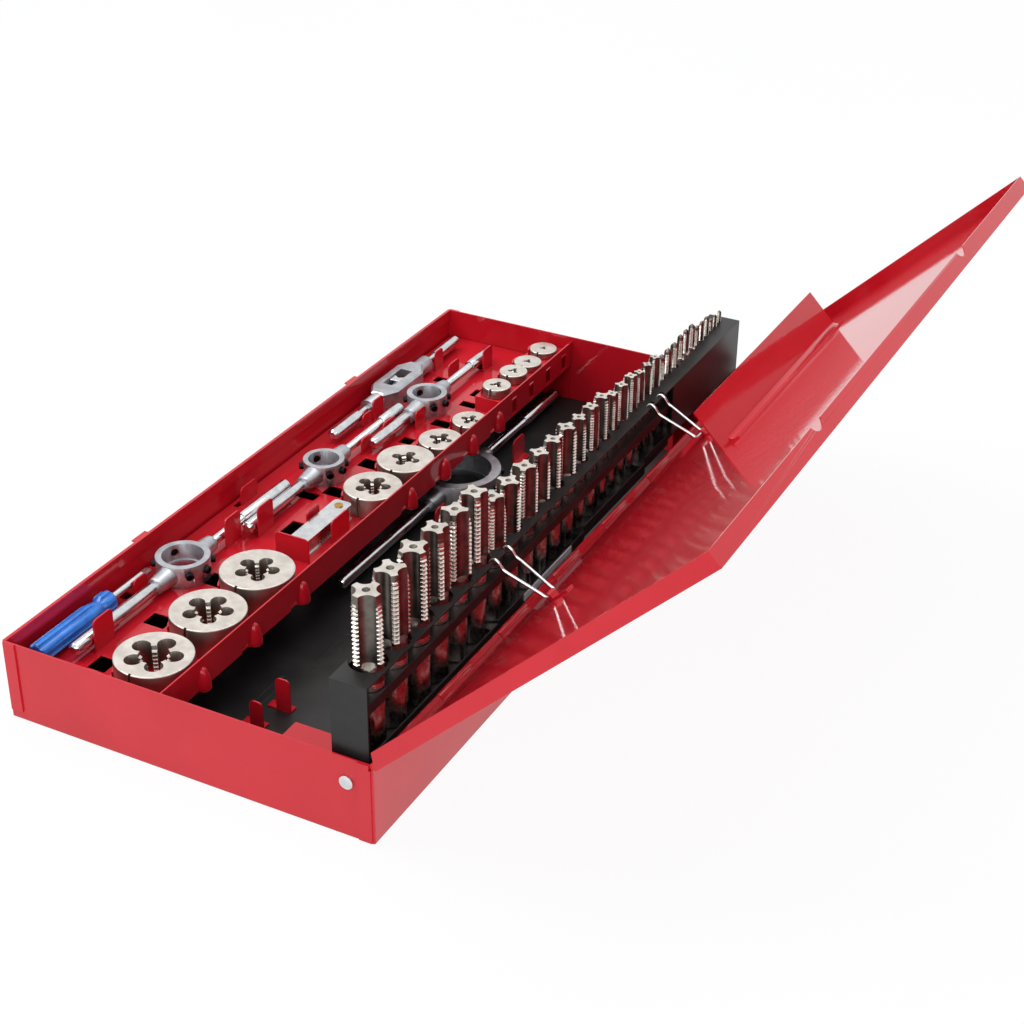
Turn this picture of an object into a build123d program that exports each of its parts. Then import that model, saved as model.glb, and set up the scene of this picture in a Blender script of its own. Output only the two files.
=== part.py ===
"""A sheet-metal case for taps and dies, shown open.

The lid stands open on its long hinge.  Two wire links join it to a tip-up stand that holds
33 hand taps upright, and folds flat over the case floor as the lid closes.  A red insert
tray along the front holds the dies, the die stocks, a tap wrench, a screwdriver and a
thread pitch gauge.

Millimetres, +Z up.  The origin is the centre of the underside of the case.  +X runs across
the case to the hinge, +Y runs along it.  Lengths named "from front" are measured from the
outside of the front wall, and "from near" from the outside of the near end wall.
"""
from build123d import *
from math import cos, radians, sin
import os

os.makedirs("parts", exist_ok=True)

# ---- driving dimensions -------------------------------------------------------------------

sheet = 1.0                  # thickness of all the folded steel
case_width = 237.0           # front wall to hinge wall, outside
case_height = 51.0
end_gap = 3.0                # between the stand's end plates and the case end walls
outer_bend = 1.2             # outside radius of the case folds
hem_height = 8.0             # doubled edge along the top of the front wall
lap_width = 9.0              # front wall's corner laps on the end walls
lap_foot = 6.0               # the laps start this far above the underside
tab_corner = 3.0             # rounding of the upper corners of punched tabs

face_gap = 0.3               # between flat faces that only rest near each other
running_gap = 0.08           # radial clearance of a pin in its bore

# Hinge
barrel_radius = 2.0
hinge_pin_radius = 1.0
knuckle_count = 15
barrel_relief = 0.4          # between a barrel and the edges beside it

# Lid
lid_rise = 44.5              # slope of the open lid above the horizontal, in degrees
lid_reach = 245.5            # hinge axis to the front of the lid
lid_flange = 9.4             # height of the lid's flanges
lid_side_gap = 0.4           # lid flange to the laps on the case
flange_setback = 5.9         # slope at the hinge end of the side flanges
latch_from_near = (130.0, 372.0)
latch_notch_radius = 7.0
latch_notch_depth = 4.5

# Flap inside the lid that keeps the folded taps in their stand
flap_from_hinge = 106.0
flap_height = 28.0
flap_from_near = 264.0
flap_length = 194.0
flap_foot = 7.0
flap_foot_setback = 12.0
flap_bend = 3.5              # inside radius of the fold at the flap's foot

# Tap stand
stand_width = 22.0
stand_to_hinge = 4.5         # front of the stand to the outside of the hinge wall
stand_top = 94.0
pivot_height = 36.0
pivot_radius = 2.5
pivot_head_radius = 4.0
pivot_head_height = 1.5
pivot_washer_radius = 4.5
tap_setback = 1.0            # tap row behind the middle of the stand
tap_hole_gap = 0.4
middle_plate_top = 80.0
middle_lip = 6.5
middle_setback = 2.5         # front of the middle plate behind the front of the stand
base_setback = 3.0
base_lip = 7.0
cover_foot = 58.0            # lower edge of the closed far part of the stand's front
first_tap_margin = 21.6      # end plate to the middle of the first tap
last_tap_margin = 6.6        # middle of the last tap to the far end plate
pitch_per_diameter = 0.91    # spacing of two taps, per millimetre of their diameter
pitch_extra = 5.0
taps_per_size = 3
size_strip_height = 4.5
size_strip_inset = (21.0, 11.0)  # ends of the strip past its first and last tap
size_strip_thickness = 0.7

# Size, thread length, overall length, shank diameter, flutes, height of the tap's foot
taps = (
    ("m20", 20.0, 40.0, 95.0, 16.0, 4, 41.5),
    ("m18", 18.0, 40.0, 95.0, 14.0, 4, 41.5),
    ("m16", 16.0, 32.0, 80.0, 12.0, 4, 43.5),
    ("m14", 14.0, 30.0, 80.0, 11.0, 4, 43.5),
    ("m12", 12.0, 28.0, 75.0, 9.0, 4, 47.0),
    ("m10", 10.0, 24.0, 70.0, 7.0, 4, 47.0),
    ("m8", 8.0, 22.0, 63.0, 6.0, 4, 51.0),
    ("m6", 6.0, 19.0, 56.0, 6.0, 3, 55.0),
    ("m5", 5.0, 16.0, 50.0, 6.0, 3, 62.5),
    ("m4", 4.0, 14.0, 45.0, 4.5, 3, 62.5),
    ("m3", 3.0, 11.0, 40.0, 3.5, 3, 62.5),
)
cover_starts_at = "m6"       # first size that stands behind the closed front
strip_sizes = ("m16", "m14")  # sizes behind the bare strip
square_share = 0.75          # square's width across its flats, per shank diameter
square_extra = 3.0           # square's length above its width
flute_radius_share = 0.27
flute_centre_share = 0.52
tip_chamfer_share = 0.12

# Wire links
wire_radius = 0.9
link_from_hinge = 38.7       # link's pivot along the lid
link_lift = 3.1              # link's pivot above the inside of the lid
link_from_near = (146.35, 363.75)
link_hook_span = 15.5
link_clip_span = 10.0
clip_width = 7.0
clip_foot = 13.0
clip_wall = 1.0
hook_strip = 1.0             # stand's top plate in front of a hook slot
hook_slot_length = 3.0
hook_slot_width = 3.0
# Bends of a hook, from the middle of the strip that it goes round: along X, along Z
hook_bends = ((3.8, 0.1), (2.1, 1.8), (0.2, 2.5), (-1.6, 1.8), (-2.4, -0.3))

# Insert tray
tray_top = 30.0              # upper face of the tray floor
tray_from_front = 2.4        # clear of the hem
tray_wall_from_front = 103.0
tray_wall_top = 48.0
tray_end_gap = 0.4
tray_notch_height = 4.0
tray_notch_length = 7.0
tray_lug_radius = 4.5
ledge_top = 41.0             # raised ledge under the four smallest dies
ledge_from_front = 77.0

# Dies: name, diameter, thickness, bore, lobes, from front, gap before it along the row
dies = (
    ("m20", 45.0, 18.0, 17.5, 5, 78.5, 9.7),
    ("m18", 45.0, 18.0, 15.5, 5, 78.5, 5.7),
    ("m16", 45.0, 18.0, 14.0, 5, 78.5, 4.5),
    ("m14", 38.0, 14.0, 12.0, 5, 83.0, 82.1),
    ("m12", 38.0, 14.0, 10.2, 4, 83.0, 3.5),
    ("m10", 30.0, 11.0, 8.5, 4, 87.0, 5.5),
    ("m8", 25.0, 9.0, 6.8, 4, 89.0, 9.9),
    ("m6", 20.0, 7.0, 5.0, 3, 88.5, 17.7),
    ("m5", 20.0, 7.0, 4.2, 3, 88.5, 5.2),
    ("m4", 20.0, 5.0, 3.3, 3, 88.5, 2.4),
    ("m3", 20.0, 5.0, 2.6, 3, 88.5, 5.0),
)
raised_diameter = 20.0       # dies of this diameter stand on the ledge
fence_gap = 0.4
fence_height = 8.0
fence_start = 140.0          # the fence's arc around a die, in degrees
fence_sweep = 75.0

# Tray tabs that part the tools: from front, from near, length along Y, height
tray_tabs = (
    (31.0, 39.0, 17.0, 20.5),
    (14.2, 97.0, 12.0, 10.0),
    (31.0, 166.5, 16.0, 20.0),
    (40.8, 187.5, 16.5, 20.5),
    (9.0, 215.0, 18.0, 12.0),
    (64.6, 206.0, 14.0, 15.0),
    (84.4, 203.0, 20.0, 15.0),
    (21.5, 343.5, 12.5, 9.0),
    (22.5, 355.5, 13.5, 15.0),
    (40.9, 310.0, 13.0, 11.0),
    (40.9, 338.0, 16.0, 10.0),
    (54.6, 358.5, 13.0, 13.0),
    (21.5, 444.5, 11.0, 15.0),
    (34.5, 441.5, 15.0, 9.0),
    (53.0, 459.5, 13.5, 17.0),
)
# Plate across the near end of the gauge's bay: from front, width, from near, height
gauge_stop = (62.0, 24.0, 175.5, 16.5)

# Windows that the tabs and fences were punched from: from front, width, from near, length
tray_windows = (
    (36.0, 12.0, 25.0, 13.0),
    (36.0, 14.5, 76.0, 12.0),
    (7.0, 7.0, 91.0, 7.0),
    (41.0, 11.5, 127.5, 13.0),
    (5.0, 3.8, 212.0, 7.0),
    (49.0, 8.5, 198.0, 17.0),
    (32.0, 14.5, 242.0, 9.0),
    (45.5, 14.0, 253.0, 11.5),
    (46.0, 14.0, 295.5, 12.0),
    (53.5, 9.5, 337.0, 9.0),
    (59.5, 14.0, 370.0, 9.5),
    (63.0, 12.5, 405.0, 8.0),
    (62.5, 7.0, 422.0, 11.0),
    (28.0, 9.0, 430.0, 8.0),
    (44.5, 7.0, 366.0, 9.0),
    (43.5, 7.0, 463.0, 16.0),
)
# Lugs and relief notches along the foot of the tray's wall, from near
tray_lugs = (41.0, 91.0, 141.0, 268.0, 312.0, 350.5, 388.5)
tray_notches = (78.0, 128.0, 255.5, 299.5, 338.0, 376.0)
tray_slots = (412.0, 438.5, 465.0, 490.0)
tray_slot_size = (8.0, 12.0)

# Die stocks: name, from front, from near, ring outside radius, bore radius, ring height,
# height of its underside, near handle's reach, far handle's thin reach, far handle's reach
stocks = (
    ("25mm", 26.5, 130.0, 16.5, 12.7, 14.0, tray_top, 104.0, 61.0, 112.0),
    ("20mm_deep", 36.0, 272.0, 13.5, 10.2, 14.0, tray_top, 89.5, 72.0, 98.5),
    ("20mm_flat", 47.5, 388.0, 14.0, 10.2, 14.0, tray_top, 73.5, 62.0, 92.0),
    ("45mm", 98.0, 341.0, 29.0, 22.7, 18.0, 2.0 * sheet, 151.0, 96.0, 146.0),
)
stock_neck_length = 12.0
stock_neck_radius = 5.5
handle_radius = 4.0
handle_thin_radius = 2.9
handle_tip = 1.5
set_screw_radius = 2.5
set_screw_proud = 3.0
set_screw_angles = (-42, 0, 42, 150, 210)   # from +X, clear of the two necks

# Tap wrench
wrench_from_front = 16.5
wrench_from_near = 400.0
wrench_half_length = 28.0
wrench_width = 22.0
wrench_height = 13.0
wrench_corner = 11.0
wrench_window = (9.0, 26.0)
wrench_neck_radius = 6.0
wrench_neck_length = 13.0
wrench_screw_radius = 3.0
wrench_near_reach = 87.0
wrench_far_reach = 86.0
wrench_thin_end = 54.0
jaw_length = 8.0
jaw_travel = 3.75            # three turns of a 1.25 mm thread
jaw_start = 9.5              # jaw's near face from the window's near end

# Screwdriver
driver_from_front = 11.0
driver_handle = (14.0, 80.0)  # from near
driver_handle_radius = 6.5
driver_flutes = 6
driver_flute_radius = 2.2
driver_shaft_radius = 2.5
driver_tip_from_near = 117.0

# Thread pitch gauge
gauge_from_front = 74.5
gauge_from_near = (181.0, 235.0)
gauge_width = 13.0
gauge_cheek = 0.8
gauge_height = 11.0
gauge_leaves = 6
gauge_leaf = 0.6
gauge_rivet_radius = 2.0
gauge_rivet_from_end = 6.5

# Clips on the case floor
clip_plates = (              # plates across the case: from front, width, from near, height
    (128.5, 9.5, 73.0, 22.0),
    (124.5, 8.5, 53.0, 18.0),
)
clip_uprights = (            # plates along the case: from front, from near, length, height
    (112.5, 283.0, 14.0, 18.0),
    (112.5, 393.0, 16.0, 17.0),
)
clip_foot_width = 6.0
rest_from_front = (162.0, 204.0)
rest_depth = 41.0

# ---- derived places -----------------------------------------------------------------------


def tap_pitch(diameter):
    return pitch_per_diameter * diameter + pitch_extra


def tap_places():
    """Distance of each tap from the stand's near end plate, as (size, distances)."""
    places = []
    y = first_tap_margin
    last_pitch = None
    for size in taps:
        pitch = tap_pitch(size[1])
        if last_pitch is not None:
            y += (last_pitch + pitch) / 2
        row = [y + pitch * i for i in range(taps_per_size)]
        y = row[-1]
        last_pitch = pitch
        places.append((size, row))
    return places


stand_length = tap_places()[-1][1][-1] + last_tap_margin + 2 * sheet
case_length = stand_length + 2 * (end_gap + sheet)

front = -case_width / 2
hinge = case_width / 2
near = -case_length / 2
far = case_length / 2

stand_near = near + sheet + end_gap
stand_far = far - sheet - end_gap
stand_front = hinge - stand_to_hinge
stand_back = stand_front - stand_width
pivot_x = (stand_back + stand_front) / 2
tap_x = pivot_x - tap_setback

hinge_z = case_height + face_gap + sheet - barrel_radius
lid_angle = radians(lid_rise)
lid_side = lid_side_gap + sheet          # inside of the lid's side flanges, past the walls
lid_plane = Plane(
    origin=(hinge, 0, hinge_z),
    x_dir=(cos(lid_angle), 0, sin(lid_angle)),
    z_dir=(-sin(lid_angle), 0, cos(lid_angle)),
)
lid_inside = sheet - barrel_radius       # height of the lid's inner face on that plane
flange_top = lid_flange - barrel_radius
link_pivot_height = lid_inside + link_lift
link_pivot = (
    hinge + link_from_hinge * cos(lid_angle) - link_pivot_height * sin(lid_angle),
    hinge_z + link_from_hinge * sin(lid_angle) + link_pivot_height * cos(lid_angle),
)
hook_centre = (stand_front - hook_strip / 2, stand_top - sheet / 2)
tray_right = front + tray_wall_from_front

# ---- helpers ------------------------------------------------------------------------------


def block(x, y, z, mode=Mode.ADD):
    """A straight-sided block that spans the given pair of values along each axis."""
    with Locations(((x[0] + x[1]) / 2, (y[0] + y[1]) / 2, (z[0] + z[1]) / 2)):
        Box(x[1] - x[0], y[1] - y[0], z[1] - z[0], mode=mode)


def make_tab(x, y, z):
    """A punched plate on edge, with its two upper corners rounded."""
    with BuildPart() as tab:
        block(x, y, z)
        across = Axis.X if x[1] - x[0] < y[1] - y[0] else Axis.Y
        corners = tab.edges().filter_by(across).group_by(Axis.Z)[-1]
        fillet(corners, tab_corner)
    return tab.part


def rod_along_y(x, z, y, radius, mode=Mode.ADD):
    with Locations((x, (y[0] + y[1]) / 2, z)):
        Cylinder(radius, y[1] - y[0], rotation=(90, 0, 0), mode=mode)


def turned_along_y(x, z, steps, tip=0.0):
    """A turned rod: steps are (y, radius) pairs, and tip is the chamfer at its last end."""
    with BuildPart() as turned:
        with BuildSketch(Plane(origin=(x, 0, z), x_dir=(0, 1, 0), z_dir=(1, 0, 0))):
            with BuildLine():
                points = [(steps[0][0], 0)]
                for (y0, radius), (y1, _) in zip(steps, steps[1:]):
                    points += [(y0, radius), (y1, radius)]
                end, last = points[-1]
                if tip:
                    inward = tip if end > steps[0][0] else -tip
                    points[-1] = (end - inward, last)
                    points.append((end, last - tip))
                points.append((end, 0))
                Polyline(*points, close=True)
            make_face()
        revolve(axis=Axis((x, 0, z), (0, 1, 0)))
    return turned.part


def save(part, name):
    part.label = name
    export_step(part, f"parts/{name}.step")


# ---- case ---------------------------------------------------------------------------------


def knuckle_spans(first, step):
    """Every other knuckle of the hinge, as (start, end) along Y."""
    pitch = (far - near) / knuckle_count
    gap = face_gap / 2
    spans = range(first, knuckle_count, step)
    return [(near + i * pitch + gap, near + (i + 1) * pitch - gap) for i in spans]


def make_case_shell():
    wall_top = hinge_z - barrel_radius - barrel_relief
    with BuildPart() as shell:
        block((front, hinge), (near, far), (0, case_height))
        low = shell.edges().group_by(Axis.Z)[0]
        upright = shell.edges().filter_by(Axis.Z)
        fillet(low + upright, outer_bend)
        inside_x = (front + sheet, hinge - sheet)
        inside_y = (near + sheet, far - sheet)
        block(inside_x, inside_y, (sheet, case_height + sheet), Mode.SUBTRACT)
        block((front + sheet, front + 2 * sheet), inside_y, (case_height - hem_height, case_height))
        for outer, inner in ((near - sheet, near), (far + sheet, far)):
            lap_y = (min(outer, inner), max(outer, inner))
            block((front + outer_bend, front + lap_width), lap_y, (lap_foot, case_height))
            block((hinge - lap_width, hinge - outer_bend), lap_y, (outer_bend, case_height))
        block((hinge - 2 * sheet, hinge + sheet), (near - 1, far + 1),
              (wall_top, case_height + 1), Mode.SUBTRACT)
        for span in knuckle_spans(0, 2):
            block((hinge - sheet, hinge), span, (wall_top - sheet, hinge_z))
            rod_along_y(hinge, hinge_z, span, barrel_radius)
        rod_along_y(hinge, hinge_z, (near - 1, far + 1), hinge_pin_radius, Mode.SUBTRACT)
        for wall in (near + sheet / 2, far - sheet / 2):
            rod_along_y(pivot_x, pivot_height, (wall - sheet, wall + sheet),
                        pivot_radius, Mode.SUBTRACT)
    return shell.part


def make_hinge_pin():
    with BuildPart() as pin:
        rod_along_y(hinge, hinge_z, (near + face_gap, far - face_gap), hinge_pin_radius)
    return pin.part


def make_front_catches():
    """Two pressed catches on the front wall that the lid's front flange snaps over."""
    reach = 6.0
    width = 13.0
    height = 5.0
    top = case_height - 3.0
    with BuildPart() as catches:
        for y in latch_from_near:
            span = (near + y - width / 2, near + y + width / 2)
            block((front - reach, front), span, (top - sheet, top))
            block((front - sheet, front), span, (top - 2 * height, top))
    return catches.part


def make_floor_sheet():
    with BuildPart() as floor:
        block((front + 2 * sheet, hinge - 2 * sheet), (near + 2 * sheet, far - 2 * sheet),
              (sheet, 2 * sheet))
    return floor.part


def make_pivot_rivets():
    """The two headed rivets that the stand turns on."""
    with BuildPart() as rivets:
        for side, wall in ((-1, near), (1, far)):
            head = (wall, wall + side * pivot_head_height)
            inner = wall - side * (2 * sheet + end_gap + face_gap)
            peen = (inner, inner - side * pivot_head_height)
            for ends, radius in ((head, pivot_head_radius), ((wall, inner), pivot_radius),
                                 (peen, pivot_head_radius)):
                rod_along_y(pivot_x, pivot_height, sorted(ends), radius)
    return rivets.part


def make_pivot_washers():
    """Spacers between the end walls and the stand."""
    with BuildPart() as washers:
        for side, wall in ((-1, near), (1, far)):
            inner = wall - side * sheet
            ends = sorted((inner, inner - side * (end_gap - face_gap)))
            rod_along_y(pivot_x, pivot_height, ends, pivot_washer_radius)
            rod_along_y(pivot_x, pivot_height, ends, pivot_radius, Mode.SUBTRACT)
    return washers.part


def make_stand_rests():
    """Brackets at the two ends of the floor that carry the stand when it is folded."""
    floor = 2 * sheet
    top = pivot_height - stand_width / 2 - face_gap
    x = (front + rest_from_front[0], front + rest_from_front[1])
    with BuildPart() as rests:
        for side, wall in ((1, near + 2 * sheet), (-1, far - 2 * sheet)):
            y = sorted((wall, wall + side * rest_depth))
            block(x, y, (floor, top))
            block((x[0] - 1, x[1] + 1), (y[0] + sheet, y[1] - sheet), (floor + sheet, top - sheet),
                  Mode.SUBTRACT)
    return rests.part


def make_floor_clips():
    floor = 2 * sheet
    with BuildPart() as clips:
        for x, width, y, height in clip_plates:
            span = (front + x, front + x + width)
            add(make_tab(span, (near + y, near + y + sheet), (floor, floor + height)))
            block((span[0] - clip_foot_width, span[1]), (near + y, near + y + clip_foot_width),
                  (floor, floor + sheet))
        for x, y, length, height in clip_uprights:
            span = (near + y, near + y + length)
            add(make_tab((front + x, front + x + sheet), span, (floor, floor + height)))
            block((front + x, front + x + clip_foot_width), span, (floor, floor + sheet))
    return clips.part


# ---- insert tray --------------------------------------------------------------------------


def die_places():
    """Each die with its place along the row, measured from near."""
    y = 0.0
    placed = []
    for die in dies:
        y += die[6] + die[1] / 2
        placed.append((die, y))
        y += die[1] / 2
    return placed


def die_seat(die):
    return ledge_top if die[1] == raised_diameter else tray_top


def tray_ends():
    return near + sheet + tray_end_gap, far - sheet - tray_end_gap


def make_insert_tray():
    """The punched tray floor, with the raised ledge under the smallest dies."""
    floor = (tray_top - sheet, tray_top)
    ends = tray_ends()
    raised = [y for die, y in die_places() if die[1] == raised_diameter]
    ledge_y = near + raised[0] - raised_diameter / 2 - 1.0
    ledge_x = (front + ledge_from_front, tray_right)
    with BuildPart() as tray:
        block((front + tray_from_front, tray_right), ends, floor)
        for x, width, y, length in tray_windows:
            block((front + x, front + x + width), (near + y, near + y + length),
                  (floor[0] - 1, floor[1] + 1), Mode.SUBTRACT)
        block(ledge_x, (ledge_y, ends[1]), (ledge_top - sheet, ledge_top))
        block(ledge_x, (ledge_y, ledge_y + sheet), (tray_top, ledge_top))
    return tray.part


def make_tray_wall():
    """The wall along the dies, with its lugs, notches and slots."""
    wall = (tray_right, tray_right + sheet)
    foot = tray_top - sheet
    slot_length, slot_height = tray_slot_size
    with BuildPart() as upright:
        block(wall, tray_ends(), (foot, tray_wall_top))
        for y in tray_notches:
            block((wall[0] - 1, wall[1] + 1), (near + y, near + y + tray_notch_length),
                  (foot - 1, foot + tray_notch_height), Mode.SUBTRACT)
        for y in tray_slots:
            block((wall[0] - 1, wall[1] + 1), (near + y - slot_length / 2, near + y + slot_length / 2),
                  (tray_top + 1, tray_top + 1 + slot_height), Mode.SUBTRACT)
        for y in tray_lugs:
            span = (near + y - tray_lug_radius, near + y + tray_lug_radius)
            with Locations((wall[1], near + y, foot)):
                Sphere(tray_lug_radius)
            block((wall[0] - tray_lug_radius, wall[0]), span,
                  (foot, foot + tray_lug_radius), Mode.SUBTRACT)
            block((wall[0] - tray_lug_radius, wall[1] + tray_lug_radius), span,
                  (foot - tray_lug_radius, foot), Mode.SUBTRACT)
    return upright.part


def make_tray_uprights():
    """All that stands on edge in the tray: wall, skirts on the case floor, tabs, fences."""
    left = front + tray_from_front
    ends = tray_ends()
    skirt_height = (2 * sheet, tray_top - sheet)
    with BuildPart() as uprights:
        add(make_tray_wall())
        block((left, left + sheet), ends, skirt_height)
        for skirt in ((ends[0], ends[0] + sheet), (ends[1] - sheet, ends[1])):
            block((left + sheet + face_gap, tray_right), skirt, skirt_height)
        for x, y, length, height in tray_tabs:
            add(make_tab((front + x, front + x + sheet), (near + y, near + y + length),
                         (tray_top, tray_top + height)))
        x, width, y, height = gauge_stop
        add(make_tab((front + x, front + x + width), (near + y, near + y + sheet),
                     (tray_top, tray_top + height)))
        for die, y in die_places():
            inner = die[1] / 2 + fence_gap
            with BuildSketch(Plane(origin=(front + die[5], near + y, die_seat(die)))):
                with BuildLine():
                    arc = CenterArc((0, 0), inner, fence_start, fence_sweep)
                    rim = CenterArc((0, 0), inner + sheet, fence_start, fence_sweep)
                    Line(arc @ 0, rim @ 0)
                    Line(arc @ 1, rim @ 1)
                make_face()
            extrude(amount=fence_height if die[1] > raised_diameter else fence_height / 2)
    return uprights.part


def make_die(die, y):
    name, diameter, thickness, bore, lobes, x, _ = die
    seat = die_seat(die)
    lobe_radius = bore * 0.30
    lobe_centre = bore / 2 + lobe_radius * 0.55
    with BuildPart() as cut:
        with Locations((front + x, near + y, seat + thickness / 2)):
            Cylinder(diameter / 2, thickness)
        chamfer(cut.edges().filter_by(GeomType.CIRCLE), 0.5)
        with Locations((front + x, near + y, seat + thickness / 2)):
            Cylinder(bore / 2, thickness + 2, mode=Mode.SUBTRACT)
            with PolarLocations(lobe_centre, lobes, start_angle=90):
                Cylinder(lobe_radius, thickness + 2, mode=Mode.SUBTRACT)
        # adjusting slot through the near lobe's wall
        slot = (near + y - diameter / 2 - 1, near + y - diameter / 2 + 1.5)
        block((front + x - 0.8, front + x + 0.8), slot, (seat - 1, seat + thickness + 1),
              Mode.SUBTRACT)
    return cut.part


# ---- tools in the tray --------------------------------------------------------------------


def stock_axis(stock):
    return front + stock[1], near + stock[2], stock[6] + stock[5] / 2


def make_stock_ring(stock):
    """Ring with two tapered necks along Y, cast in one piece."""
    outer, bore, height = stock[3], stock[4], stock[5]
    x, y, z = stock_axis(stock)
    seat_depth = height * 0.25
    with BuildPart() as ring:
        with Locations((x, y, z)):
            Cylinder(outer, height)
        for side in (-1, 1):
            plane = Plane(origin=(x, y, z), z_dir=(0, side, 0))
            with BuildSketch(plane.offset(outer - 2.0)):
                Circle(min(stock_neck_radius + 1.5, height / 2 - 0.2))
            with BuildSketch(plane.offset(outer + stock_neck_length)):
                Circle(handle_radius + 1.0)
            loft()
        with Locations((x, y, z)):
            Cylinder(bore - 1.5, height + 2, mode=Mode.SUBTRACT)
        with Locations((x, y, z + seat_depth)):
            Cylinder(bore, height, mode=Mode.SUBTRACT)
        for side in (-1, 1):
            hole = (y + side * outer, y + side * (outer + stock_neck_length + 1))
            rod_along_y(x, z, sorted(hole), handle_thin_radius, Mode.SUBTRACT)
        for angle in set_screw_angles:
            direction = (cos(radians(angle)), sin(radians(angle)), 0)
            with BuildSketch(Plane(origin=(x, y, z + height * 0.12), z_dir=direction)):
                Circle(set_screw_radius)
            extrude(amount=outer + 1, mode=Mode.SUBTRACT)
    return ring.part


def make_stock_handles(stock):
    outer, near_reach, thin_reach, far_reach = stock[3], stock[7], stock[8], stock[9]
    x, y, z = stock_axis(stock)
    neck = outer + stock_neck_length
    near_rod = turned_along_y(
        x, z,
        ((y - outer, handle_thin_radius), (y - neck, handle_radius), (y - near_reach, 0)),
        handle_tip)
    far_rod = turned_along_y(
        x, z,
        ((y + outer, handle_thin_radius), (y + thin_reach, handle_radius), (y + far_reach, 0)),
        handle_tip)
    with BuildPart() as handles:
        add(near_rod)
        add(far_rod)
    return handles.part


def make_set_screws():
    with BuildPart() as screws:
        for stock in stocks:
            x, y, z = stock_axis(stock)
            outer, bore, height = stock[3], stock[4], stock[5]
            for angle in set_screw_angles:
                direction = (cos(radians(angle)), sin(radians(angle)), 0)
                side = Plane(origin=(x, y, z + height * 0.12), z_dir=direction)
                with BuildSketch(side.offset(bore - 0.3)):
                    Circle(set_screw_radius)
                extrude(amount=outer - bore + set_screw_proud)
    return screws.part


def wrench_centre():
    return front + wrench_from_front, near + wrench_from_near, tray_top + wrench_height / 2


def make_wrench_body():
    x, y, z = wrench_centre()
    half_width, half = wrench_width / 2, wrench_half_length
    corner = wrench_corner
    with BuildPart() as body:
        with BuildSketch(Plane.XY.offset(tray_top)):
            with BuildLine():
                Polyline(
                    (x - half_width, y - half + corner), (x - half_width + 6, y - half),
                    (x + half_width - 6, y - half), (x + half_width, y - half + corner),
                    (x + half_width, y + half - corner), (x + half_width - 6, y + half),
                    (x - half_width + 6, y + half), (x - half_width, y + half - corner),
                    close=True)
            make_face()
        extrude(amount=wrench_height)
        chamfer(body.faces().sort_by(Axis.Z)[-1].edges(), 1.5)
        for side in (-1, 1):
            neck = sorted((y + side * (half - 1), y + side * (half + wrench_neck_length)))
            rod_along_y(x, z, neck, wrench_neck_radius)
        width, length = wrench_window
        block((x - width / 2, x + width / 2), (y - length / 2, y + length / 2),
              (tray_top - 1, tray_top + wrench_height + 1), Mode.SUBTRACT)
        bore = (y - half - wrench_neck_length - 1, y - length / 2 + 1)
        rod_along_y(x, z, bore, wrench_screw_radius + running_gap, Mode.SUBTRACT)
    return body.part


def make_wrench_screw():
    """The turning handle, whose screw drives the jaw."""
    x, y, z = wrench_centre()
    screw_end = y - wrench_window[1] / 2 + jaw_start - face_gap
    return turned_along_y(
        x, z,
        ((screw_end, wrench_screw_radius), (y - wrench_thin_end, handle_radius),
         (y - wrench_near_reach, 0)),
        handle_tip)


def make_wrench_handle():
    x, y, z = wrench_centre()
    return turned_along_y(
        x, z,
        ((y + wrench_half_length + wrench_neck_length, handle_thin_radius),
         (y + wrench_thin_end, handle_radius), (y + wrench_far_reach, 0)),
        handle_tip)


def make_wrench_jaw():
    x, y, z = wrench_centre()
    width, length = wrench_window
    start = y - length / 2 + jaw_start
    half = width / 2 - face_gap
    notch = 3.0
    with BuildPart() as jaw:
        with BuildSketch(Plane.XY.offset(tray_top + 1.0)):
            with BuildLine():
                Polyline(
                    (x - half, start), (x + half, start), (x + half, start + jaw_length),
                    (x, start + jaw_length - notch), (x - half, start + jaw_length), close=True)
            make_face()
        extrude(amount=wrench_height - 2.0)
    return jaw.part


def make_driver_handle():
    x = front + driver_from_front
    z = tray_top + driver_handle_radius
    y0, y1 = near + driver_handle[0], near + driver_handle[1]
    head = 12.0
    neck = 9.0
    waist = driver_handle_radius * 0.72
    with BuildPart() as handle:
        with BuildSketch(Plane(origin=(x, 0, z), x_dir=(0, 1, 0), z_dir=(1, 0, 0))):
            with BuildLine():
                Polyline(
                    (y0, 0), (y0, driver_handle_radius - 1), (y0 + 1, driver_handle_radius),
                    (y1 - head - neck, driver_handle_radius), (y1 - head, waist),
                    (y1 - head + 3, driver_handle_radius), (y1 - 2, driver_handle_radius),
                    (y1, driver_handle_radius - 2), (y1, 0), close=True)
            make_face()
        revolve(axis=Axis((x, 0, z), (0, 1, 0)))
        plane = Plane(origin=(x, y0 - 1, z), x_dir=(1, 0, 0), z_dir=(0, 1, 0))
        with BuildSketch(plane):
            with PolarLocations(driver_handle_radius + driver_flute_radius * 0.3, driver_flutes):
                Circle(driver_flute_radius)
        extrude(amount=y1 - y0 + 2, mode=Mode.SUBTRACT)
    return handle.part


def make_driver_blade():
    x = front + driver_from_front
    z = tray_top + driver_handle_radius
    start = near + driver_handle[1]
    end = near + driver_tip_from_near
    tip = 8.0
    with BuildPart() as blade:
        rod_along_y(x, z, (start, end), driver_shaft_radius)
        for side in (-1, 1):
            low, high = sorted((z + side * 0.5, z + side * (driver_shaft_radius + 1)))
            block((x - 4, x + 4), (end - tip, end + 1), (low, high), Mode.SUBTRACT)
    return blade.part


def gauge_spans():
    x = front + gauge_from_front
    width = (x - gauge_width / 2, x + gauge_width / 2)
    return width, (near + gauge_from_near[0], near + gauge_from_near[1])


def gauge_rivet_centre():
    return front + gauge_from_front, near + gauge_from_near[1] - gauge_rivet_from_end


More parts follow.
